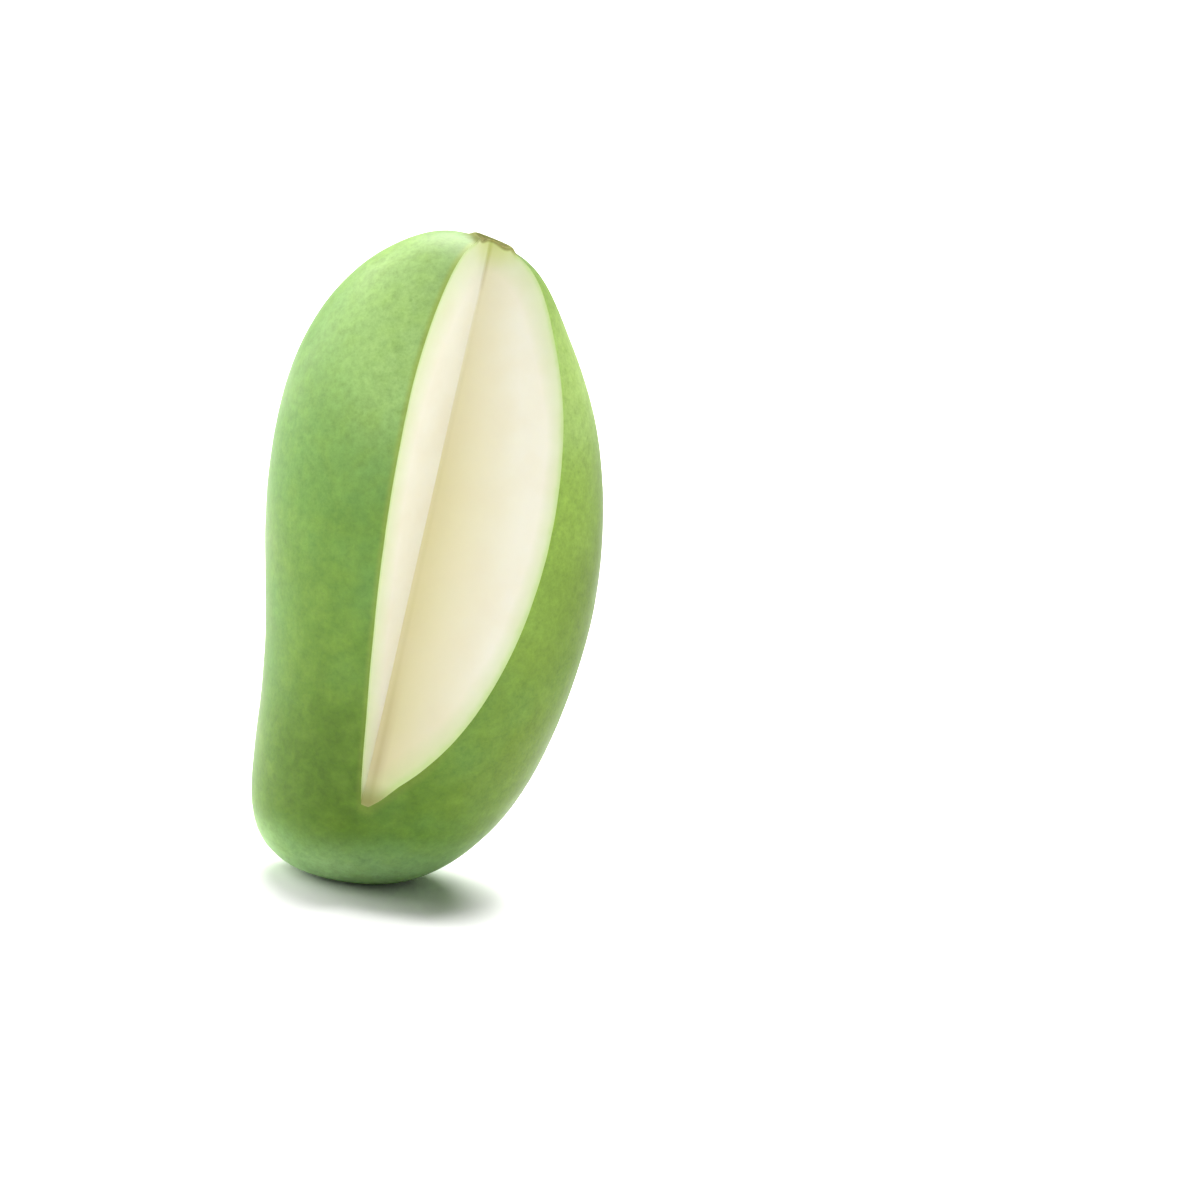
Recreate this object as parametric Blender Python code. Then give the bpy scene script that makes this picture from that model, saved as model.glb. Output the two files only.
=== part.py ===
"""A green mango that stands on its blunt lower end, with a wedge of flesh cut out of its front.

The origin is the middle of the small flat spot it stands on, +Z is up and the cut faces -Y.
"""

import math

import bmesh
import bpy
import numpy as np
from mathutils import Matrix, Vector

MM = 0.001

# The core line runs from the blossom end, low on the left, to the stem scar, high on the right.
# The fruit swells out round the lower end of it and is flattened there by the floor.
LOWER_END = Vector((-12.9, 1.5, -0.4)) * MM
STEM_END = Vector((17.4, -4.9, 147.5)) * MM

# Stations along the core line go from -1 at the lower end to 1 at the stem. The side bow bends the
# line towards +X, and the half width is the swell of the flanks before they round off at the ends.
SIDE_STATIONS = (-1.0, -0.75, -0.4, 0.0, 0.4, 0.75, 1.0)
SIDE_BOW = (0.0, 9.8, 13.3, 9.2, 2.1, -1.9, 0.0)
HALF_WIDTH = (41.1, 39.2, 36.2, 37.2, 38.7, 38.2, 35.3)

# Cross sections turn this share of the way with the bow, so they never crowd on its hollow side.
SECTION_TURN = 0.5

# The fruit is flatter from front to back than from side to side, and its back is a little fuller.
DEPTH_STATIONS = (-1.0, -0.33, 0.33, 1.0)
DEPTH_RATIO = (0.86, 0.88, 0.86, 0.80)
DEPTH_BOW = (-1.1, 1.3, 3.0, -2.1)

# Stem end: a shallow dimple that holds the corky ring of the scar and the stub of the stalk.
DIMPLE_DEPTH = 2.2 * MM
DIMPLE_RADIUS = 10.0 * MM
SCAR_RADIUS = 4.4 * MM
SCAR_WIDTH = 0.9 * MM
SCAR_HEIGHT = 0.8 * MM
STUB_RADIUS = 1.5 * MM
STUB_HEIGHT = 0.7 * MM

# Blossom end: the small beak where the flower's style stood, just above the floor on the left.
BEAK_POINT = Vector((-15.5, 1.5, 2.6)) * MM
BEAK_RADIUS = 3.2 * MM
BEAK_HEIGHT = 0.9 * MM

# The wedge: its sharp inner edge, the valley, runs from the stem scar down the front of the fruit.
# The knife's left cut missed that edge low down by a sliver, which leaves a narrow strip between
# the two faces. A heading is a face's outward direction, from -Y towards +X.
VALLEY_TOP = Vector((16.3, -6.0, 144.3)) * MM
VALLEY_FOOT = Vector((2.7, -24.9, 23.7)) * MM
STRIP_FOOT = Vector((1.0, -24.8, 22.8)) * MM
LEFT_FACE_HEADING = math.radians(-30.0)
RIGHT_FACE_HEADING = math.radians(72.0)
STRIP_TOP_WIDTH = 0.2 * MM
CUTTER_REACH = 90.0 * MM
CUTTER_OVERRUN = 30.0 * MM

# Mesh density: the rings crowd together towards the scar, whose relief is fine.
SEGMENTS = 68
RINGS = 64
CROWDED_ANGLE = math.radians(20.0)
CROWDING = 0.62

SKIN_COLOUR = (0.235, 0.407, 0.090, 1.0)
FLESH_COLOUR = (0.880, 0.831, 0.578, 1.0)


def remove_everything():
    """Empty the scene of the objects it starts with."""
    for thing in list(bpy.data.objects):
        bpy.data.objects.remove(thing, do_unlink=True)


def add_collection(name):
    """Add a collection to the scene."""
    collection = bpy.data.collections.new(name)
    bpy.context.scene.collection.children.link(collection)
    return collection


def add_material(name, colour, roughness):
    """Add a plain material for one kind of surface."""
    material = bpy.data.materials.new(name)
    material.use_nodes = True
    shader = material.node_tree.nodes["Principled BSDF"]
    shader.inputs["Base Color"].default_value = colour
    shader.inputs["Roughness"].default_value = roughness
    shader.inputs["Metallic"].default_value = 0.0
    return material


def natural_spline(stations, values):
    """Return the smooth curve through the values that is straight beyond both ends."""
    x = np.array(stations)
    y = np.array(values)
    step = np.diff(x)
    slope = np.diff(y) / step
    system = np.eye(len(x))
    load = np.zeros(len(x))
    for i in range(1, len(x) - 1):
        system[i, i - 1:i + 2] = step[i - 1], 2.0 * (step[i - 1] + step[i]), step[i]
        load[i] = 6.0 * (slope[i] - slope[i - 1])
    bend = np.linalg.solve(system, load)

    def curve(at):
        i = int(np.clip(np.searchsorted(x, at) - 1, 0, len(x) - 2))
        before = (x[i + 1] - at) / step[i]
        after = (at - x[i]) / step[i]
        sag = (before ** 3 - before) * bend[i] + (after ** 3 - after) * bend[i + 1]
        return before * y[i] + after * y[i + 1] + sag * step[i] ** 2 / 6.0

    return curve


side_bow = natural_spline(SIDE_STATIONS, SIDE_BOW)
half_width = natural_spline(SIDE_STATIONS, HALF_WIDTH)
depth_ratio = natural_spline(DEPTH_STATIONS, DEPTH_RATIO)
depth_bow = natural_spline(DEPTH_STATIONS, DEPTH_BOW)

# The fruit's own three directions: up the core line, away from the cut side, and to the right.
CORE_LENGTH = (STEM_END - LOWER_END).length
UPWARD = (STEM_END - LOWER_END) / CORE_LENGTH
BACKWARD = (Vector((0.0, 1.0, 0.0)) - UPWARD * UPWARD.y).normalized()
SIDEWAYS = BACKWARD.cross(UPWARD)


def core_point(station):
    """Return the point of the bowed core line at a station."""
    straight = LOWER_END.lerp(STEM_END, (station + 1.0) / 2.0)
    bowed = SIDEWAYS * side_bow(station) + BACKWARD * depth_bow(station)
    return straight + bowed * MM


def section_tilt(station):
    """Return the angle by which the cross section at a station turns with the side bow."""
    reach = 1e-3
    rise = (side_bow(station + reach) - side_bow(station - reach)) * MM / (2.0 * reach)
    return SECTION_TURN * math.atan2(rise, CORE_LENGTH / 2.0)


def hump(distance, radius):
    """Return a smooth bump of height 1 that fades out past the radius."""
    return math.exp(-(distance / radius) ** 2)


def stem_relief(distance):
    """Return the height of the stem end's relief, at a distance from the scar's middle."""
    dimple = -DIMPLE_DEPTH * hump(distance, DIMPLE_RADIUS)
    ring = SCAR_HEIGHT * hump(distance - SCAR_RADIUS, SCAR_WIDTH)
    stub = STUB_HEIGHT * hump(distance, STUB_RADIUS)
    return dimple + ring + stub


def crowd(polar):
    """Move a ring's angle towards the stem pole, most where the scar lies."""
    def pull(angle):
        return angle - CROWDING * CROWDED_ANGLE * (1.0 - math.exp(-angle / CROWDED_ANGLE))

    return math.pi * pull(polar) / pull(math.pi)


def fruit_point(direction):
    """Return the fruit's surface point for a direction on the unit sphere, stem pole up."""
    polar = crowd(math.acos(max(-1.0, min(1.0, direction.z))))
    around = math.atan2(direction.y, direction.x)
    station = math.cos(polar)
    tilt = section_tilt(station)
    across = SIDEWAYS * math.cos(tilt) - UPWARD * math.sin(tilt)
    reach = half_width(station) * MM * math.sin(polar)
    point = core_point(station)
    point += across * reach * math.cos(around)
    point += BACKWARD * reach * depth_ratio(station) * math.sin(around)
    stem_tilt = section_tilt(1.0)
    stemward = UPWARD * math.cos(stem_tilt) + SIDEWAYS * math.sin(stem_tilt)
    from_stem = (point - core_point(1.0)).length
    from_beak = (point - BEAK_POINT).length
    beakward = (BEAK_POINT - core_point(-0.6)).normalized()
    point += stemward * stem_relief(from_stem)
    point += beakward * BEAK_HEIGHT * hump(from_beak, BEAK_RADIUS)
    return point


def cut_flat_spot(bm):
    """Cut the lower end off level at the floor and close it with one flat face."""
    everything = bm.verts[:] + bm.edges[:] + bm.faces[:]
    bmesh.ops.bisect_plane(bm, geom=everything, dist=1e-6, plane_co=(0.0, 0.0, 0.0),
                           plane_no=(0.0, 0.0, 1.0), clear_inner=True)
    for face in bm.faces:
        face.smooth = True
    rim = [edge for edge in bm.edges if edge.is_boundary]
    bmesh.ops.holes_fill(bm, edges=rim, sides=len(rim))
    bmesh.ops.recalc_face_normals(bm, faces=bm.faces)


def build_fruit(collection, skin, flesh):
    """Build the whole fruit from a sphere that is drawn out along the core line."""
    bm = bmesh.new()
    bmesh.ops.create_uvsphere(bm, u_segments=SEGMENTS, v_segments=RINGS, radius=1.0)
    for vert in bm.verts:
        vert.co = fruit_point(vert.co)
    cut_flat_spot(bm)
    mesh = bpy.data.meshes.new("mango")
    bm.to_mesh(mesh)
    bm.free()
    mesh.materials.append(skin)
    mesh.materials.append(flesh)
    fruit = bpy.data.objects.new("mango", mesh)
    collection.objects.link(fruit)
    return fruit


def face_direction(heading, edge):
    """Return the direction in which a cut face runs outward, square to its inner edge."""
    outward = Vector((math.sin(heading), -math.cos(heading), 0.0))
    return (outward - edge * outward.dot(edge)).normalized()


def wedge_corners():
    """Return the wedge's long edges, each as a lower and an upper end, anticlockwise from above."""
    right_edge = (VALLEY_TOP - VALLEY_FOOT).normalized()
    left_edge = (VALLEY_TOP - STRIP_FOOT).normalized()
    right = face_direction(RIGHT_FACE_HEADING, right_edge)
    left = face_direction(LEFT_FACE_HEADING, left_edge)
    right_top = VALLEY_TOP + right_edge * CUTTER_OVERRUN
    left_top = right_top + left * STRIP_TOP_WIDTH
    right_foot = VALLEY_FOOT - right_edge * CUTTER_OVERRUN
    left_foot = STRIP_FOOT - left_edge * CUTTER_OVERRUN
    return ((right_foot, right_top),
            (left_foot, left_top),
            (left_foot + left * CUTTER_REACH, left_top + left * CUTTER_REACH),
            (right_foot + right * CUTTER_REACH, right_top + right * CUTTER_REACH))


def build_wedge(collection, flesh):
    """Build the wedge that the knife took out, from a four-sided prism."""
    corners = wedge_corners()
    bm = bmesh.new()
    bmesh.ops.create_cone(bm, cap_ends=True, segments=len(corners), radius1=1.0, radius2=1.0, depth=2.0)
    for vert in bm.verts:
        turn = math.atan2(vert.co.y, vert.co.x) % math.tau / math.tau
        foot, top = corners[int(turn * len(corners) + 0.01) % len(corners)]
        vert.co = top if vert.co.z > 0.0 else foot
    mesh = bpy.data.meshes.new("wedge")
    bm.to_mesh(mesh)
    bm.free()
    mesh.materials.append(flesh)
    wedge = bpy.data.objects.new("wedge", mesh)
    wedge.hide_render = True
    wedge.display_type = "WIRE"
    collection.objects.link(wedge)
    return wedge


def cut_notch(fruit, wedge):
    """Cut the wedge out of the fruit, which leaves bare flesh on both faces."""
    cut = fruit.modifiers.new("notch", "BOOLEAN")
    cut.operation = "DIFFERENCE"
    cut.solver = "EXACT"
    cut.object = wedge
    cut.material_mode = "TRANSFER"


def main():
    """Build the mango."""
    remove_everything()
    parts = add_collection("mango")
    cutters = add_collection("mango_cutters")
    skin = add_material("Mango Skin", SKIN_COLOUR, 0.42)
    flesh = add_material("Mango Flesh", FLESH_COLOUR, 0.50)
    fruit = build_fruit(parts, skin, flesh)
    wedge = build_wedge(cutters, flesh)
    cut_notch(fruit, wedge)


main()
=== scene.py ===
"""A cut green mango on a white studio floor, laid out as a Blender add-on and run as a script.

The fruit stands on its blunt lower end with its stem scar on top. A wedge of flesh has been cut out
of its front, so pale flesh shows on two faces that meet in a valley.
"""

import math

import bpy
import numpy as np
from bpy.props import FloatProperty, FloatVectorProperty, IntProperty, PointerProperty
from mathutils import Matrix, Vector, noise
from mathutils.bvhtree import BVHTree


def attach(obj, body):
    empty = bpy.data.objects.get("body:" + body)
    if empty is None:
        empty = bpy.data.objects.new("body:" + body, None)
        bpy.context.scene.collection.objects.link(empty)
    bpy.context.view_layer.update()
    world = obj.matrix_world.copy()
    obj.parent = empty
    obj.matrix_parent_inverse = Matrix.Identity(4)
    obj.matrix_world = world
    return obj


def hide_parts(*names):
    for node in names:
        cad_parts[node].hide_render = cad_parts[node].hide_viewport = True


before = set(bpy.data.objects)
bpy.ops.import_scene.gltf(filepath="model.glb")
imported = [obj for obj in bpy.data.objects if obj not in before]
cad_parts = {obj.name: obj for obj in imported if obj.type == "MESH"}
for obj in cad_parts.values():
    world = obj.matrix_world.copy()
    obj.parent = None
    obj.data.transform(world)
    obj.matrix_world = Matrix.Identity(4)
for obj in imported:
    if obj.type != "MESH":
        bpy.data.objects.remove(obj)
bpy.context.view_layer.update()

bl_info = {
    "name": "Cut Green Mango",
    "version": (1, 0, 0),
    "blender": (4, 5, 0),
    "location": "View3D > Sidebar > Mango",
    "description": "Adds a green mango with a wedge cut out of it, and a white studio round it",
    "category": "Add Mesh",
}

MM = 0.001

# The core line runs from the blossom end, low on the left, to the stem scar, high on the right.
LOWER_END = np.array((-12.9, 1.5, -0.4)) * MM
STEM_END = np.array((17.4, -4.9, 147.5)) * MM

# Stations along the core line go from -1 at the lower end to 1 at the stem. The side bow bends the
# line towards +X, and the half width is the swell of the flanks before they round off at the ends,
# both in millimetres. The cross sections turn with the bow by the share given.
SIDE_STATIONS = (-1.0, -0.75, -0.4, 0.0, 0.4, 0.75, 1.0)
SIDE_BOW = (0.0, 9.8, 13.3, 9.2, 2.1, -1.9, 0.0)
HALF_WIDTH = (41.1, 39.2, 36.2, 37.2, 38.7, 38.2, 35.3)
SECTION_TURN = 0.5
SLOPE_STEP = 1e-3

# The fruit is flatter from front to back than from side to side, and its back is a little fuller.
DEPTH_STATIONS = (-1.0, -0.33, 0.33, 1.0)
DEPTH_RATIO = (0.86, 0.88, 0.86, 0.80)
DEPTH_BOW = (-1.1, 1.3, 3.0, -2.1)

# Stem end: a shallow dimple that holds the corky ring of the scar and the stub of the stalk.
DIMPLE_DEPTH = 2.2 * MM
DIMPLE_RADIUS = 10.0 * MM
SCAR_RADIUS = 4.4 * MM
SCAR_WIDTH = 0.9 * MM
SCAR_HEIGHT = 0.8 * MM
STUB_RADIUS = 1.5 * MM
STUB_HEIGHT = 0.7 * MM

# Blossom end: the small beak where the flower's style stood, just above the floor on the left. It
# points away from the core line at the station given.
BEAK_POINT = np.array((-15.5, 1.5, 2.6)) * MM
BEAK_STATION = -0.6
BEAK_RADIUS = 3.2 * MM
BEAK_HEIGHT = 0.9 * MM

# The skin's soft unevenness: how far apart its broad and its fine swells are, and how high the fine
# ones are beside the broad ones.
BROAD_SWELL = 22.0 * MM
FINE_SWELL = 9.0 * MM
FINE_SHARE = 0.4

# The wedge: its sharp inner edge, the valley, runs from the stem scar down the front of the fruit.
# The knife's left cut missed that edge low down by a sliver, which leaves a narrow strip between
# the two faces. A heading is a face's outward direction, from -Y towards +X. The cutter that takes
# the wedge out reaches and runs past the fruit, and its two faces are cut up into a fine grid.
VALLEY_TOP = Vector((16.3, -6.0, 144.3)) * MM
VALLEY_FOOT = Vector((2.7, -24.9, 23.7)) * MM
STRIP_FOOT = Vector((1.0, -24.8, 22.8)) * MM
LEFT_FACE_HEADING = math.radians(-30.0)
RIGHT_FACE_HEADING = math.radians(72.0)
STRIP_TOP_WIDTH = 0.2 * MM
CUTTER_REACH = 60.0 * MM
CUTTER_OVERRUN = 8.0 * MM
CUTS_ALONG = 190
CUTS_ACROSS = 90
LONG_EDGE = 80.0 * MM
LENGTH_SLACK = 0.5 * MM
TURN_SLACK = 0.01

# The knife wavered: how far apart the broad and the fine waves on its faces are, and how many
# millimetres high.
BROAD_WAVE = 14.0 * MM
FINE_WAVE = 4.0 * MM
BROAD_WAVE_MM = 0.10
FINE_WAVE_MM = 0.03

# Below this height the knife came out of the right face early, by up to this depth.
KNIFE_EXIT = 0.8 * MM
EXIT_TOP = 46.0 * MM
EXIT_LENGTH = 20.0 * MM
EXIT_WIDTH = 6.0 * MM

# The fruit touches the floor about this point. The foot rounds off gently there, and more and more
# gently with every 10 mm up to the limit, so that it lifts off the floor all round.
FOOT_CENTRE = np.array((6.0, -1.0)) * MM
FOOT_STEP = 10.0 * MM
FOOT_SOFTNESS = 0.8 * MM
FOOT_ROUNDING = 0.7 * MM
FOOT_LIMIT = 4.5 * MM

# How squarely a cut must look along the right face's own direction to count as part of it: not at
# all up to the first cosine, wholly after another step.
FACING_START = 0.50
FACING_STEP = 0.46

# Faces that meet more sharply than this keep their edge.
SHARP_ANGLE = math.radians(35.0)

# Broad patches where the skin is another green, or where light and shade are painted on: centre,
# reach, strength and colour. They are painted shade low on the front beside the foot of the valley,
# painted shade on the left shoulder, the pale skin along the top of the left cut, the right flank
# paling towards the stem, painted light lower on the right flank, painted shade on its outer side,
# painted light at mid height there, painted shade low on the right, and the skin round the scar.
SKIN_AND_SHADE_PATCHES = (((-0.008, -0.026, 0.029), 0.026, 0.85, "#466210"),
           ((-0.023, -0.006, 0.112), 0.040, 0.60, "#537B31"),
           ((0.002, -0.019, 0.122), 0.026, 0.60, "#98B870"),
           ((0.035, -0.018, 0.118), 0.030, 0.64, "#A0BB6C"),
           ((0.034, -0.026, 0.080), 0.032, 0.70, "#86A647"),
           ((0.060, 0.002, 0.070), 0.055, 0.85, "#566E18"),
           ((0.038, -0.018, 0.092), 0.018, 0.24, "#98B850"),
           ((0.034, -0.012, 0.030), 0.023, 0.65, "#566E18"),
           ((0.016, -0.005, 0.147), 0.018, 0.60, "#66814A"))

# The mesh's rings crowd together towards the scar, whose relief is fine.
CROWDED_ANGLE = math.radians(20.0)
CROWDING = 0.62

# The studio: each soft light's name, direction, strength and width in degrees. The backdrop looks
# fully white but lights the fruit only faintly, as a far wall does.
LIGHTS = (("ceiling_softbox", (0.1, 0.1, 1.0), 2.3, 20.0),
          ("back_softbox", (0.05, 0.6, 1.0), 6.8, 55.0),
          ("left_softbox", (-1.0, 0.4, 0.45), 3.8, 60.0))
BACKDROP_GLOW = 0.18

# The camera: where it stands, which way it looks and which way is up in it.
CAMERA_PLACE = (-0.00949, -0.73388, 0.23485)
CAMERA_FORWARD = (0.07778, 0.97218, -0.22092)
CAMERA_UPWARD = (-0.10097, 0.21667, 0.97101)
SENSOR_WIDTH = 36.0
CLIP_END = 100.0

SMOOTH = {"interpolation_type": "SMOOTHSTEP"}


def linear(hex_colour):
    """Turn an sRGB hex colour into linear red, green and blue."""
    channels = [int(hex_colour[i:i + 2], 16) / 255.0 for i in (1, 3, 5)]
    return tuple(c / 12.92 if c <= 0.04045 else ((c + 0.055) / 1.055) ** 2.4 for c in channels)


class MangoFruitSettings(bpy.types.PropertyGroup):
    """Sizes and colours of the fruit."""

    segments: IntProperty(name="Segments", description="Mesh segments round the fruit", default=280, min=16)
    rings: IntProperty(name="Rings", description="Mesh rings from end to end", default=220, min=16)
    swell: FloatProperty(name="Swell", description="Height of the skin's soft unevenness",
                         default=0.12 * MM, unit="LENGTH", precision=5)
    top_skin: FloatVectorProperty(name="Top Skin", description="Skin near the stem", subtype="COLOR",
                                  default=linear("#7A9556"))
    upper_skin: FloatVectorProperty(name="Upper Skin", description="Skin of the shoulders", subtype="COLOR",
                                    default=linear("#7A9953"))
    middle_skin: FloatVectorProperty(name="Middle Skin", description="Skin of the flanks", subtype="COLOR",
                                     default=linear("#5A7C30"))
    lower_skin: FloatVectorProperty(name="Lower Skin", description="Skin of the lower third", subtype="COLOR",
                                    default=linear("#547322"))
    # Pale band at the blossom end: painted bounce light from the floor.
    foot_bounce_light: FloatVectorProperty(name="Foot Skin", description="Skin round the blossom end",
                                   subtype="COLOR", default=linear("#97BC7C"))
    # Yellower right flank, darkened as painted shade.
    warm_skin: FloatVectorProperty(name="Warm Skin", description="Sunnier skin of the right flank",
                                   subtype="COLOR", default=linear("#657F22"))
    flesh: FloatVectorProperty(name="Flesh", description="Flesh close under the skin", subtype="COLOR",
                               default=linear("#DBD8C7"))
    deep_flesh: FloatVectorProperty(name="Deep Flesh", description="Yellower flesh deep in the fruit",
                                    subtype="COLOR", default=linear("#CEC697"))
    rim: FloatVectorProperty(name="Rim", description="Green flesh right under the skin", subtype="COLOR",
                             default=linear("#AFC77F"))
    cork: FloatVectorProperty(name="Cork", description="Corky ring of the stem scar", subtype="COLOR",
                              default=linear("#6F6B40"))


class MangoStageSettings(bpy.types.PropertyGroup):
    """Sizes and colours of the studio."""

    floor_size: FloatProperty(name="Floor Size", description="Side of the square floor", default=40.0,
                              unit="LENGTH")
    floor_colour: FloatVectorProperty(name="Floor Colour", description="Colour of the floor",
                                      subtype="COLOR", default=linear("#F7F7F7"))
    lens: FloatProperty(name="Lens", description="Focal length of the camera", default=102.2,
                        unit="CAMERA")


# ---- shape ----------------------------------------------------------------------------------------


def natural_spline(stations, values):
    """Return the smooth curve through the values that is straight beyond both ends."""
    x = np.array(stations)
    y = np.array(values)
    step = np.diff(x)
    slope = np.diff(y) / step
    system = np.eye(len(x))
    load = np.zeros(len(x))
    for i in range(1, len(x) - 1):
        system[i, i - 1:i + 2] = step[i - 1], 2.0 * (step[i - 1] + step[i]), step[i]
        load[i] = 6.0 * (slope[i] - slope[i - 1])
    bend = np.linalg.solve(system, load)

    def curve(at):
        i = np.clip(np.searchsorted(x, at) - 1, 0, len(x) - 2)
        before = (x[i + 1] - at) / step[i]
        after = (at - x[i]) / step[i]
        sag = (before ** 3 - before) * bend[i] + (after ** 3 - after) * bend[i + 1]
        return before * y[i] + after * y[i + 1] + sag * step[i] ** 2 / 6.0

    return curve


side_bow = natural_spline(SIDE_STATIONS, SIDE_BOW)
half_width = natural_spline(SIDE_STATIONS, HALF_WIDTH)
depth_ratio = natural_spline(DEPTH_STATIONS, DEPTH_RATIO)
depth_bow = natural_spline(DEPTH_STATIONS, DEPTH_BOW)

# The fruit's own three directions: up the core line, away from the cut side, and to the right.
CORE_LENGTH = np.linalg.norm(STEM_END - LOWER_END)
UPWARD = (STEM_END - LOWER_END) / CORE_LENGTH
BACKWARD = np.array((0.0, 1.0, 0.0)) - UPWARD * UPWARD[1]
BACKWARD = BACKWARD / np.linalg.norm(BACKWARD)
SIDEWAYS = np.cross(BACKWARD, UPWARD)


def core_point(station):
    """Return the points of the bowed core line at an array of stations."""
    share = (station[:, None] + 1.0) / 2.0
    straight = LOWER_END + (STEM_END - LOWER_END) * share
    bowed = SIDEWAYS * side_bow(station)[:, None] + BACKWARD * depth_bow(station)[:, None]
    return straight + bowed * MM


def section_tilt(station):
    """Return the angles by which the cross sections at the stations turn with the side bow."""
    rise = (side_bow(station + SLOPE_STEP) - side_bow(station - SLOPE_STEP)) * MM / (2.0 * SLOPE_STEP)
    return SECTION_TURN * np.arctan2(rise, CORE_LENGTH / 2.0)


def hump(distance, radius):
    """Return a smooth bump of height 1 that fades out past the radius."""
    return np.exp(-(distance / radius) ** 2)


STEM = np.array((1.0,))
STEM_POINT = core_point(STEM)[0]
STEMWARD = UPWARD * math.cos(section_tilt(STEM)[0]) + SIDEWAYS * math.sin(section_tilt(STEM)[0])
BEAKWARD = BEAK_POINT - core_point(np.array((BEAK_STATION,)))[0]
BEAKWARD = BEAKWARD / np.linalg.norm(BEAKWARD)


def crowd(polar):
    """Move the rings' angles towards the stem pole, most where the scar lies."""
    def pull(angle):
        return angle - CROWDING * CROWDED_ANGLE * (1.0 - np.exp(-angle / CROWDED_ANGLE))

    return math.pi * pull(polar) / pull(math.pi)


def fruit_points(directions):
    """Return the fruit's surface points for directions on the unit sphere, stem pole up."""
    polar = crowd(np.arccos(np.clip(directions[:, 2], -1.0, 1.0)))
    around = np.arctan2(directions[:, 1], directions[:, 0])
    station = np.cos(polar)
    tilt = section_tilt(station)[:, None]
    across = SIDEWAYS * np.cos(tilt) - UPWARD * np.sin(tilt)
    reach = half_width(station) * MM * np.sin(polar)
    points = core_point(station)
    points += across * (reach * np.cos(around))[:, None]
    points += BACKWARD * (reach * depth_ratio(station) * np.sin(around))[:, None]
    from_stem = np.linalg.norm(points - STEM_POINT, axis=1)
    from_beak = np.linalg.norm(points - BEAK_POINT, axis=1)
    relief = -DIMPLE_DEPTH * hump(from_stem, DIMPLE_RADIUS)
    relief += SCAR_HEIGHT * hump(from_stem - SCAR_RADIUS, SCAR_WIDTH)
    relief += STUB_HEIGHT * hump(from_stem, STUB_RADIUS)
    points += STEMWARD * relief[:, None]
    points += BEAKWARD * (BEAK_HEIGHT * hump(from_beak, BEAK_RADIUS))[:, None]
    return points


def read_points(mesh):
    """Return a mesh's vertex places as an array."""
    flat = np.empty(len(mesh.vertices) * 3)
    mesh.vertices.foreach_get("co", flat)
    return flat.reshape(-1, 3)


def write_points(mesh, points):
    """Set a mesh's vertex places from an array."""
    mesh.vertices.foreach_set("co", np.asarray(points, dtype=float).ravel())
    mesh.update()


def read_normals(mesh):
    """Return a mesh's vertex normals as an array."""
    flat = np.empty(len(mesh.vertices) * 3)
    mesh.vertices.foreach_get("normal", flat)
    return flat.reshape(-1, 3)


def noise_at(points, size, seed):
    """Return smooth noise from -1 to 1 at each point, with features of about the size given."""
    shift = Vector((seed * 7.3, seed * 3.1, seed * 5.7))
    return np.array([noise.noise(Vector(p) / size + shift) for p in points])


def only_selected(obj):
    """Leave just one object selected and active."""
    bpy.ops.object.select_all(action="DESELECT")
    obj.select_set(True)
    bpy.context.view_layer.objects.active = obj


def face_direction(heading, edge):
    """Return the direction in which a cut face runs outward, square to its inner edge."""
    outward = Vector((math.sin(heading), -math.cos(heading), 0.0))
    return (outward - edge * outward.dot(edge)).normalized()


def right_face_normal():
    """Return the direction square to the right cut face, out of the flesh."""
    edge = (VALLEY_TOP - VALLEY_FOOT).normalized()
    return face_direction(RIGHT_FACE_HEADING, edge).cross(edge)


def distance_from_valley(points):
    """Return each point's distance from the line of the valley."""
    along = np.array((VALLEY_TOP - VALLEY_FOOT).normalized())
    return np.linalg.norm(np.cross(points - np.array(VALLEY_FOOT), along), axis=1)


def wedge_corners():
    """Return the wedge's long edges, each as a lower and an upper end, anticlockwise from above."""
    right_edge = (VALLEY_TOP - VALLEY_FOOT).normalized()
    left_edge = (VALLEY_TOP - STRIP_FOOT).normalized()
    right = face_direction(RIGHT_FACE_HEADING, right_edge)
    left = face_direction(LEFT_FACE_HEADING, left_edge)
    right_top = VALLEY_TOP + right_edge * CUTTER_OVERRUN
    left_top = right_top + left * STRIP_TOP_WIDTH
    right_foot = VALLEY_FOOT - right_edge * CUTTER_OVERRUN
    left_foot = STRIP_FOOT - left_edge * CUTTER_OVERRUN
    return ((right_foot, right_top),
            (left_foot, left_top),
            (left_foot + left * CUTTER_REACH, left_top + left * CUTTER_REACH),
            (right_foot + right * CUTTER_REACH, right_top + right * CUTTER_REACH))


def press_flat(points):
    """Return the points pressed up against the floor, with a foot that rounds off softly."""
    away = np.linalg.norm(points[:, :2] - FOOT_CENTRE, axis=1) / FOOT_STEP
    softness = np.minimum(FOOT_SOFTNESS + FOOT_ROUNDING * away ** 2, FOOT_LIMIT)
    pressed = points.copy()
    pressed[:, 2] = (points[:, 2] + np.hypot(points[:, 2], softness)) / 2.0
    pressed[:, 2] -= pressed[:, 2].min()
    return pressed


def add_whole_fruit(settings, skin, flesh):
    """Add the uncut fruit: a sphere drawn out along the core line and pressed flat where it stands."""
    bpy.ops.object.select_all(action="DESELECT")
    bpy.ops.mesh.primitive_uv_sphere_add(segments=settings.segments, ring_count=settings.rings,
                                         radius=1.0)
    fruit = bpy.context.object
    fruit.name = "mango_fruit"
    mesh = fruit.data
    mesh.name = "mango_fruit"
    write_points(mesh, fruit_points(read_points(mesh)))
    points = read_points(mesh)
    swell = noise_at(points, BROAD_SWELL, 1) + FINE_SHARE * noise_at(points, FINE_SWELL, 2)
    write_points(mesh, points + read_normals(mesh) * (swell * settings.swell)[:, None])
    write_points(mesh, press_flat(read_points(mesh)))
    mesh.materials.append(skin)
    mesh.materials.append(flesh)
    bpy.ops.object.shade_smooth()
    return fruit


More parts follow.
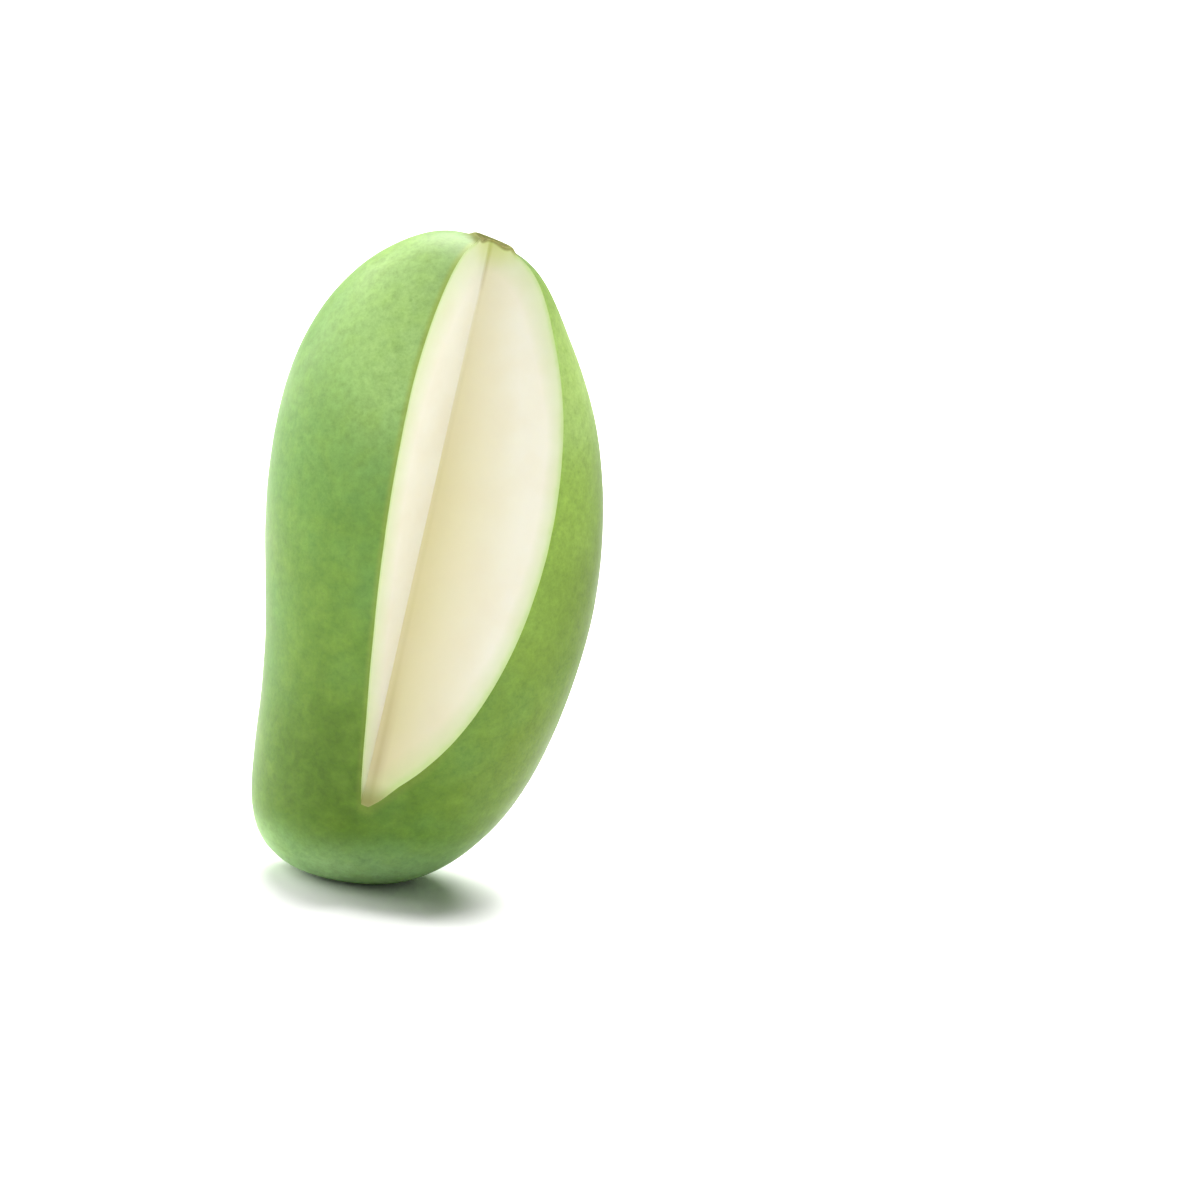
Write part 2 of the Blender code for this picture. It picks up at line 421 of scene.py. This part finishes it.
def select_edges(mesh, wanted):
    """Select the edges for whose two ends the test holds, and nothing else."""
    bpy.ops.mesh.select_mode(type="EDGE")
    bpy.ops.mesh.select_all(action="DESELECT")
    bpy.ops.object.mode_set(mode="OBJECT")
    for edge in mesh.edges:
        edge.select = wanted(*(mesh.vertices[i].co for i in edge.vertices))
    bpy.ops.object.mode_set(mode="EDIT")


def early_exit(points, normals):
    """Return how far the wedge's points move so that the right face bends outwards low down."""
    right = np.array(right_face_normal())
    turned = np.clip(-(normals @ right), 0.0, 1.0)
    low = np.clip((EXIT_TOP - points[:, 2]) / EXIT_LENGTH, 0.0, 1.0)
    out = np.clip(distance_from_valley(points) / EXIT_WIDTH, 0.0, 1.0)
    return right * (KNIFE_EXIT * turned * low * out)[:, None]


def add_wedge(flesh):
    """Add the wedge that the knife took out: a prism with slightly uneven faces."""
    corners = wedge_corners()
    bpy.ops.object.select_all(action="DESELECT")
    bpy.ops.mesh.primitive_cylinder_add(vertices=len(corners), radius=1.0, depth=2.0)
    wedge = bpy.context.object
    mesh = wedge.data
    for vert in mesh.vertices:
        turn = math.atan2(vert.co.y, vert.co.x) % math.tau / math.tau
        foot, top = corners[int(turn * len(corners) + TURN_SLACK) % len(corners)]
        vert.co = top if vert.co.z > 0.0 else foot
    mesh.materials.append(flesh)
    only_selected(wedge)
    bpy.ops.object.mode_set(mode="EDIT")
    select_edges(mesh, lambda one, other: abs(one.z - other.z) > LONG_EDGE)
    bpy.ops.mesh.subdivide(number_cuts=CUTS_ALONG)
    select_edges(mesh, lambda one, other: abs((one - other).length - CUTTER_REACH) < LENGTH_SLACK)
    bpy.ops.mesh.subdivide(number_cuts=CUTS_ACROSS)
    bpy.ops.object.mode_set(mode="OBJECT")
    points = read_points(mesh)
    uneven = BROAD_WAVE_MM * noise_at(points, BROAD_WAVE, 3)
    uneven = uneven + FINE_WAVE_MM * noise_at(points, FINE_WAVE, 4)
    normals = read_normals(mesh)
    early = early_exit(points, normals)
    write_points(mesh, points + normals * (uneven * MM)[:, None] + early)
    return wedge


def cut_wedge(fruit, wedge):
    """Cut the wedge out of the fruit."""
    cut = fruit.modifiers.new("notch", "BOOLEAN")
    cut.operation = "DIFFERENCE"
    cut.solver = "EXACT"
    cut.object = wedge
    cut.material_mode = "TRANSFER"
    only_selected(fruit)
    bpy.ops.object.modifier_apply(modifier=cut.name)


def surface_of(obj):
    """Return a tree of an object's faces, to measure distances from."""
    return BVHTree.FromObject(obj, bpy.context.evaluated_depsgraph_get())


def store(mesh, name, values, domain="POINT"):
    """Store one number for each of the mesh's points or faces, for its materials to read."""
    mesh.attributes.new(name, "FLOAT", domain).data.foreach_set("value", values)


def store_distances(mesh, whole, wedge):
    """Store how many millimetres each point is from the uncut skin, the cut, the valley and the scar.

    How squarely each face looks the right cut's way is stored too, from 0 to 1.
    """
    points = read_points(mesh)
    store(mesh, "under_skin_mm", [whole.find_nearest(Vector(p))[3] / MM for p in points])
    store(mesh, "from_cut_mm", [wedge.find_nearest(Vector(p))[3] / MM for p in points])
    store(mesh, "from_valley_mm", distance_from_valley(points) / MM)
    store(mesh, "from_stem_mm", np.linalg.norm(points - STEM_POINT, axis=1) / MM)
    right = right_face_normal()
    faced = np.array([abs(face.normal.dot(right)) for face in mesh.polygons])
    store(mesh, "right_cut", np.clip((faced - FACING_START) / FACING_STEP, 0.0, 1.0), "FACE")


# ---- materials ------------------------------------------------------------------------------------


def add_node(tree, kind, inputs=None, output=None, **settings):
    """Add a node with its settings and its inputs' values or links, and return one of its outputs."""
    node = tree.nodes.new("ShaderNode" + kind)
    for name, value in settings.items():
        setattr(node, name, value)
    for key, value in (inputs or {}).items():
        used = [socket for socket in node.inputs if socket.enabled]
        socket = used[key] if isinstance(key, int) else next(s for s in used if s.name == key)
        if isinstance(value, bpy.types.NodeSocket):
            tree.links.new(value, socket)
        elif socket.type == "RGBA":
            socket.default_value = (*value[:3], 1.0)
        else:
            socket.default_value = value
    used = [socket for socket in node.outputs if socket.enabled]
    return next((s for s in used if s.name == output), used[0] if used else None)


def new_tree(name):
    """Add a node material without nodes, and return it."""
    material = bpy.data.materials.new(name)
    material.use_nodes = True
    material.node_tree.nodes.clear()
    return material


def skin_material(settings):
    """Unripe mango skin: a smooth cuticle under natural wax, so it is satin and never mirror-like."""
    material = new_tree("Waxy green mango skin")
    tree = material.node_tree
    place = add_node(tree, "TexCoord", output="Object")
    height = add_node(tree, "SeparateXYZ", {0: place}, "Z")
    side = add_node(tree, "SeparateXYZ", {0: place}, "X")
    from_stem = add_node(tree, "Attribute", attribute_name="from_stem_mm", output="Fac")
    from_cut = add_node(tree, "Attribute", attribute_name="from_cut_mm", output="Fac")

    # Ground colour: paler towards the stem and deep green in the lower third, partly the skin's own colour
    # and partly painted light from above and painted shade low down. The pale band at the foot's front is
    # painted bounce light from the white floor, and it fades out towards the back.
    depth = add_node(tree, "SeparateXYZ", {0: place}, "Y")
    back = add_node(tree, "MapRange", {"Value": depth, "From Min": 4.0 * MM, "From Max": 24.0 * MM,
                                       "To Max": 0.85}, **SMOOTH)
    colour = add_node(tree, "Mix", {"Factor": back, "A": settings.foot_bounce_light, "B": settings.lower_skin},
                      data_type="RGBA")
    for start, end, skin in ((2.0, 18.0, settings.lower_skin), (50.0, 92.0, settings.middle_skin),
                             (86.0, 112.0, settings.upper_skin), (112.0, 140.0, settings.top_skin)):
        share = add_node(tree, "MapRange", {"Value": height, "From Min": start * MM, "From Max": end * MM},
                         **SMOOTH)
        colour = add_node(tree, "Mix", {"Factor": share, "A": colour, "B": skin}, data_type="RGBA")
    # The right flank is yellower, and its warm skin is also darkened as painted shade.
    right_flank_share = add_node(tree, "MapRange", {"Value": side, "From Min": 12.0 * MM, "From Max": 38.0 * MM,
                                        "To Max": 0.75}, **SMOOTH)
    colour = add_node(tree, "Mix", {"Factor": right_flank_share, "A": colour, "B": settings.warm_skin}, data_type="RGBA")

    # Clouds 16 mm across where the wax lies thicker, broad patches, yellower flecks 5 mm across and
    # mottling 2 mm across. The side away from the cut is darkened all over: painted shade.
    patches = add_node(tree, "TexNoise", {"Vector": place, "Scale": 1.0 / (16.0 * MM), "Detail": 3.0}, "Fac")
    cloud = add_node(tree, "MapRange", {"Value": patches, "From Min": 0.40, "From Max": 0.72, "To Max": 0.30})
    colour = add_node(tree, "Mix", {"Factor": cloud, "A": colour, "B": linear("#5F8A52")}, data_type="RGBA")
    # Some of these patches are painted light and painted shade.
    for centre, reach, strength, skin in SKIN_AND_SHADE_PATCHES:
        away = add_node(tree, "VectorMath", {0: place, 1: centre}, operation="DISTANCE")
        share = add_node(tree, "MapRange", {"Value": away, "From Min": reach, "From Max": 0.25 * reach,
                                            "To Max": strength}, **SMOOTH)
        colour = add_node(tree, "Mix", {"Factor": share, "A": colour, "B": linear(skin)}, data_type="RGBA")
    flecks = add_node(tree, "TexNoise", {"Vector": place, "Scale": 1.0 / (5.0 * MM), "Detail": 3.0}, "Fac")
    fleck = add_node(tree, "MapRange", {"Value": flecks, "From Min": 0.45, "From Max": 0.72, "To Max": 0.22})
    colour = add_node(tree, "Mix", {"Factor": fleck, "A": colour, "B": linear("#769538")}, data_type="RGBA")
    mottle = add_node(tree, "TexNoise", {"Vector": place, "Scale": 1.0 / (2.2 * MM), "Detail": 4.0,
                                         "Roughness": 0.85}, "Fac")
    shade = add_node(tree, "MapRange", {"Value": mottle, "From Min": 0.30, "From Max": 0.70, "To Min": 0.80,
                                        "To Max": 1.16})
    colour = add_node(tree, "Mix", {"Factor": 1.0, "A": colour, "B": shade}, data_type="RGBA",
                      blend_type="MULTIPLY")
    # Painted shade: darker towards the back.
    colour = add_node(tree, "Mix", {"Factor": back, "A": colour, "B": linear("#A2AD9E")}, data_type="RGBA",
                      blend_type="MULTIPLY")

    # Lenticels: breathing pores, darker than the skin round them and 0.6 mm across.
    pores = add_node(tree, "TexVoronoi", {"Vector": place, "Scale": 1.0 / (1.5 * MM)}, "Distance")
    specks = add_node(tree, "MapRange", {"Value": pores, "From Min": 0.34, "From Max": 0.10, "To Max": 0.12},
                      **SMOOTH)
    colour = add_node(tree, "Mix", {"Factor": specks, "A": colour, "B": linear("#3F5C22")}, data_type="RGBA")

    # The skin dries to olive along the left cut, most by the stem, and to cork at the scar.
    aged = add_node(tree, "MapRange", {"Value": height, "From Min": 30.0 * MM, "From Max": 125.0 * MM,
                                       "To Min": 0.20, "To Max": 0.60})
    aged = add_node(tree, "MapRange", {"Value": side, "From Min": 24.0 * MM, "From Max": 14.0 * MM,
                                       "To Max": aged})
    dried = add_node(tree, "MapRange", {"Value": from_cut, "From Min": 1.5, "From Max": 0.2, "To Max": aged},
                     **SMOOTH)
    colour = add_node(tree, "Mix", {"Factor": dried, "A": colour, "B": linear("#84903F")}, data_type="RGBA")
    ragged = add_node(tree, "TexNoise", {"Vector": place, "Scale": 1.0 / (1.2 * MM), "Detail": 5.0}, "Fac")
    ring = add_node(tree, "Math", {0: ragged, 1: 1.6, 2: from_stem}, operation="MULTIPLY_ADD")
    halo = add_node(tree, "MapRange", {"Value": ring, "From Min": 8.8, "From Max": 5.6}, **SMOOTH)
    colour = add_node(tree, "Mix", {"Factor": halo, "A": colour, "B": linear("#686C3C")}, data_type="RGBA")
    grain = add_node(tree, "MapRange", {"Value": ragged, "From Min": 0.35, "From Max": 0.65})
    bark = add_node(tree, "Mix", {"Factor": grain, "A": linear("#565531"), "B": settings.cork},
                    data_type="RGBA")
    core = add_node(tree, "MapRange", {"Value": ring, "From Min": 3.3, "From Max": 2.2}, **SMOOTH)
    bark = add_node(tree, "Mix", {"Factor": core, "A": bark, "B": linear("#BCA272")}, data_type="RGBA")
    cork = add_node(tree, "MapRange", {"Value": ring, "From Min": 5.4, "From Max": 4.4}, **SMOOTH)
    colour = add_node(tree, "Mix", {"Factor": cork, "A": colour, "B": bark}, data_type="RGBA")

    wax = add_node(tree, "MapRange", {"Value": patches, "From Min": 0.3, "From Max": 0.7, "To Min": 0.40,
                                      "To Max": 0.52})
    rough = add_node(tree, "Mix", {"Factor": cork, "A": wax, "B": 0.85})
    peel = add_node(tree, "TexNoise", {"Vector": place, "Scale": 1.0 / (0.9 * MM), "Detail": 3.0}, "Fac")
    bumps = add_node(tree, "Bump", {"Height": peel, "Strength": 0.25, "Distance": 0.12 * MM})
    bumps = add_node(tree, "Bump", {"Height": ragged, "Strength": cork, "Distance": 0.5 * MM,
                                    "Normal": bumps})
    shine = add_node(tree, "MapRange", {"Value": side, "From Min": 28.0 * MM, "From Max": 46.0 * MM,
                                        "To Min": 0.3, "To Max": 0.1})
    shine = add_node(tree, "MapRange", {"Value": halo, "To Min": shine, "To Max": 0.02})
    surface = add_node(tree, "BsdfPrincipled", {
        "Base Color": colour, "Roughness": rough, "Normal": bumps, "IOR": 1.33, "Specular IOR Level": shine,
        "Subsurface Weight": 0.06, "Subsurface Radius": (0.6, 1.0, 0.3), "Subsurface Scale": 1.5 * MM})
    add_node(tree, "OutputMaterial", {"Surface": surface})
    return material


def flesh_material(settings):
    """Firm green-mango flesh, freshly sliced: dense and juicy, so it is pale, satin and translucent."""
    material = new_tree("Sliced green mango flesh")
    tree = material.node_tree
    place = add_node(tree, "TexCoord", output="Object")
    height = add_node(tree, "SeparateXYZ", {0: place}, "Z")
    under_skin = add_node(tree, "Attribute", attribute_name="under_skin_mm", output="Fac")
    from_valley = add_node(tree, "Attribute", attribute_name="from_valley_mm", output="Fac")
    right_cut = add_node(tree, "Attribute", attribute_name="right_cut", output="Fac")

    # The right face was cut close to the stone, so it is yellower towards the valley, most at half
    # height and below; part of this yellow-tan is painted shade in the recess of the valley.
    yellow_by_height = add_node(tree, "MapRange", {"Value": height, "From Min": 140.0 * MM, "From Max": 90.0 * MM,
                                       "To Min": 0.55})
    reach = add_node(tree, "MapRange", {"Value": height, "From Min": 140.0 * MM, "From Max": 90.0 * MM,
                                        "To Min": 7.0, "To Max": 20.0})
    yellow = add_node(tree, "MapRange", {"Value": from_valley, "From Min": reach, "From Max": 0.0,
                                         "To Max": yellow_by_height})
    yellow = add_node(tree, "Math", {0: yellow, 1: right_cut}, operation="MULTIPLY")
    colour = add_node(tree, "Mix", {"Factor": yellow, "A": settings.flesh, "B": settings.deep_flesh},
                      data_type="RGBA")
    clouds = add_node(tree, "TexNoise", {"Vector": place, "Scale": 1.0 / (9.0 * MM), "Detail": 3.0}, "Fac")
    cloud = add_node(tree, "MapRange", {"Value": clouds, "From Min": 0.4, "From Max": 0.7, "To Max": 0.25})
    colour = add_node(tree, "Mix", {"Factor": cloud, "A": colour, "B": linear("#D2C7A8")}, data_type="RGBA")

    # Painted shade follows the bottom of the valley as a brownish tone, most at its foot, and the crease
    # by the stem is darkened to olive as painted shade too.
    valley_shade = add_node(tree, "MapRange", {"Value": height, "From Min": 66.0 * MM, "From Max": 24.0 * MM,
                                         "To Max": 0.55}, **SMOOTH)
    spread = add_node(tree, "MapRange", {"Value": from_valley, "From Min": 2.2, "From Max": 0.2,
                                         "To Max": valley_shade})
    colour = add_node(tree, "Mix", {"Factor": spread, "A": colour, "B": linear("#B0A078")}, data_type="RGBA")
    crease_by_height = add_node(tree, "MapRange", {"Value": height, "From Min": 134.0 * MM, "From Max": 144.0 * MM,
                                       "To Min": 0.08, "To Max": 0.6})
    crease = add_node(tree, "MapRange", {"Value": from_valley, "From Min": 0.9, "From Max": 0.1,
                                         "To Max": crease_by_height}, **SMOOTH)
    colour = add_node(tree, "Mix", {"Factor": crease, "A": colour, "B": linear("#958A4A")}, data_type="RGBA")

    # Green shows through under the skin, strongly for 1 mm and faintly for 3 to 9 mm, deepest by the
    # stem. Round the scar the flesh is yellow-green, and stained where the scar's cork touches it.
    grain = add_node(tree, "TexNoise", {"Vector": place, "Scale": 1.0 / (3.0 * MM), "Detail": 4.0}, "Fac")
    under = add_node(tree, "Math", {0: grain, 1: 0.8, 2: under_skin}, operation="MULTIPLY_ADD")
    deeper = add_node(tree, "MapRange", {"Value": height, "From Min": 105.0 * MM, "From Max": 145.0 * MM,
                                         "To Min": 6.5, "To Max": 10.0})
    deepest = add_node(tree, "Math", {0: right_cut, 1: -3.0, 2: deeper}, operation="MULTIPLY_ADD")
    tinge = add_node(tree, "MapRange", {"Value": under, "From Min": deepest, "From Max": 0.6, "To Max": 0.55})
    colour = add_node(tree, "Mix", {"Factor": tinge, "A": colour, "B": settings.rim}, data_type="RGBA")
    green = add_node(tree, "MapRange", {"Value": under, "From Min": 1.5, "From Max": 0.3, "To Max": 0.8},
                     **SMOOTH)
    colour = add_node(tree, "Mix", {"Factor": green, "A": colour, "B": settings.rim}, data_type="RGBA")
    from_stem = add_node(tree, "Attribute", attribute_name="from_stem_mm", output="Fac")
    stained = add_node(tree, "MapRange", {"Value": from_stem, "From Min": 7.0, "From Max": 4.5,
                                          "To Max": 0.8}, **SMOOTH)
    flushed = add_node(tree, "MapRange", {"Value": from_stem, "From Min": 9.0, "From Max": 3.0,
                                          "To Max": 0.45}, **SMOOTH)
    colour = add_node(tree, "Mix", {"Factor": flushed, "A": colour, "B": linear("#C3C869")}, data_type="RGBA")
    skinward = add_node(tree, "MapRange", {"Value": under_skin, "From Min": 0.8, "From Max": 0.2}, **SMOOTH)
    stained = add_node(tree, "Math", {0: stained, 1: skinward}, operation="MULTIPLY")
    colour = add_node(tree, "Mix", {"Factor": stained, "A": colour, "B": linear("#78733E")}, data_type="RGBA")
    tip = add_node(tree, "MapRange", {"Value": height, "From Min": 29.0 * MM, "From Max": 23.5 * MM,
                                      "To Max": 0.90}, **SMOOTH)
    colour = add_node(tree, "Mix", {"Factor": tip, "A": colour, "B": linear("#868446")}, data_type="RGBA")

    gloss = add_node(tree, "MapRange", {"Value": grain, "From Min": 0.3, "From Max": 0.7, "To Min": 0.42,
                                        "To Max": 0.55})
    strokes = add_node(tree, "Mapping", {"Vector": place, "Scale": (1.0, 1.0, 0.12)})
    strokes = add_node(tree, "TexNoise", {"Vector": strokes, "Scale": 1.0 / (1.4 * MM), "Detail": 3.0}, "Fac")
    bumps = add_node(tree, "Bump", {"Height": strokes, "Strength": 0.2, "Distance": 0.15 * MM})
    surface = add_node(tree, "BsdfPrincipled", {
        "Base Color": colour, "Roughness": gloss, "Normal": bumps, "IOR": 1.38,
        "Subsurface Weight": 0.15, "Subsurface Radius": (1.0, 0.8, 0.4), "Subsurface Scale": 1.5 * MM})
    add_node(tree, "OutputMaterial", {"Surface": surface})
    return material


def floor_material(settings):
    """Seamless white studio paper: matt, so the fruit casts a soft shadow and no reflection."""
    material = new_tree("White studio paper")
    tree = material.node_tree
    place = add_node(tree, "TexCoord", output="Object")
    grain = add_node(tree, "TexNoise", {"Vector": place, "Scale": 1.0 / (2.0 * MM), "Detail": 2.0}, "Fac")
    shade = add_node(tree, "MapRange", {"Value": grain, "To Max": 0.05})
    colour = add_node(tree, "Mix", {"Factor": shade, "A": settings.floor_colour, "B": linear("#E0E0E0")},
                      data_type="RGBA")
    surface = add_node(tree, "BsdfPrincipled", {"Base Color": colour, "Roughness": 0.95,
                                                "Specular IOR Level": 0.1})
    add_node(tree, "OutputMaterial", {"Surface": surface})
    return material


# ---- operators ------------------------------------------------------------------------------------


class MANGO_OT_add_fruit(bpy.types.Operator):
    """Add the green mango with the wedge cut out of it"""

    bl_idname = "mango.add_fruit"
    bl_label = "Add Cut Mango"

    def execute(self, context):
        settings = context.scene.mango_fruit
        skin = skin_material(settings)
        flesh = flesh_material(settings)
        fruit = add_whole_fruit(settings, skin, flesh)
        whole = surface_of(fruit)
        wedge = add_wedge(flesh)
        knife = surface_of(wedge)
        cut_wedge(fruit, wedge)
        bpy.data.objects.remove(wedge, do_unlink=True)
        store_distances(fruit.data, whole, knife)
        only_selected(fruit)
        bpy.ops.object.shade_smooth_by_angle(angle=SHARP_ANGLE)
        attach(fruit, "root")
        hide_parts("mango")
        return {"FINISHED"}


def add_sun(name, towards, strength, width):
    """Add a broad soft light that falls alike on the whole floor."""
    bpy.ops.object.select_all(action="DESELECT")
    bpy.ops.object.light_add(type="SUN")
    light = bpy.context.object
    light.name = name
    light.data.energy = strength
    light.data.angle = math.radians(width)
    light.rotation_euler = Vector(towards).to_track_quat("Z", "Y").to_euler()


def add_camera(lens):
    """Add the camera, tipped over to one side by as much as the fruit was stood up straight."""
    bpy.ops.object.select_all(action="DESELECT")
    bpy.ops.object.camera_add()
    camera = bpy.context.object
    forward = Vector(CAMERA_FORWARD).normalized()
    upward = Vector(CAMERA_UPWARD)
    upward = (upward - forward * upward.dot(forward)).normalized()
    right = forward.cross(upward)
    turn = Matrix((right, upward, -forward)).transposed()
    camera.matrix_world = Matrix.Translation(CAMERA_PLACE) @ turn.to_4x4()
    camera.data.lens = lens
    camera.data.sensor_width = SENSOR_WIDTH
    camera.data.clip_end = CLIP_END
    bpy.context.scene.camera = camera


class MANGO_OT_add_stage(bpy.types.Operator):
    """Add the white floor, the soft lights, the world and the camera"""

    bl_idname = "mango.add_stage"
    bl_label = "Add Studio"

    def execute(self, context):
        settings = context.scene.mango_stage
        bpy.ops.object.select_all(action="DESELECT")
        bpy.ops.mesh.primitive_plane_add(size=settings.floor_size)
        floor = context.object
        floor.name = "studio_floor"
        floor.data.materials.append(floor_material(settings))
        for light in LIGHTS:
            add_sun(*light)
        world = bpy.data.worlds.new("White studio")
        world.use_nodes = True
        tree = world.node_tree
        tree.nodes.clear()
        seen = add_node(tree, "LightPath", output="Is Camera Ray")
        strength = add_node(tree, "MapRange", {"Value": seen, "To Min": BACKDROP_GLOW, "To Max": 1.0})
        glow = add_node(tree, "Background", {"Color": (1.0, 1.0, 1.0), "Strength": strength})
        add_node(tree, "OutputWorld", {"Surface": glow})
        context.scene.world = world
        context.scene.view_settings.view_transform = "Standard"
        add_camera(settings.lens)
        return {"FINISHED"}


class MANGO_PT_sidebar(bpy.types.Panel):
    """Panel that lists the mango's operators and settings"""

    bl_idname = "MANGO_PT_sidebar"
    bl_label = "Cut Green Mango"
    bl_space_type = "VIEW_3D"
    bl_region_type = "UI"
    bl_category = "Mango"

    def draw(self, context):
        groups = (("mango.add_fruit", context.scene.mango_fruit),
                  ("mango.add_stage", context.scene.mango_stage))
        for operator, settings in groups:
            box = self.layout.box()
            box.operator(operator)
            for name in settings.__annotations__:
                box.prop(settings, name)


CLASSES = (MangoFruitSettings, MangoStageSettings, MANGO_OT_add_fruit, MANGO_OT_add_stage, MANGO_PT_sidebar)


def register():
    """Register the classes and hang the settings on the scene."""
    for cls in CLASSES:
        bpy.utils.register_class(cls)
    bpy.types.Scene.mango_fruit = PointerProperty(type=MangoFruitSettings)
    bpy.types.Scene.mango_stage = PointerProperty(type=MangoStageSettings)


def unregister():
    """Take the settings off the scene and unregister the classes."""
    del bpy.types.Scene.mango_stage
    del bpy.types.Scene.mango_fruit
    for cls in reversed(CLASSES):
        bpy.utils.unregister_class(cls)


def main():
    """Build the fruit and the studio."""
    register()
    bpy.ops.mango.add_fruit()
    bpy.ops.mango.add_stage()


if __name__ == "__main__":
    main()
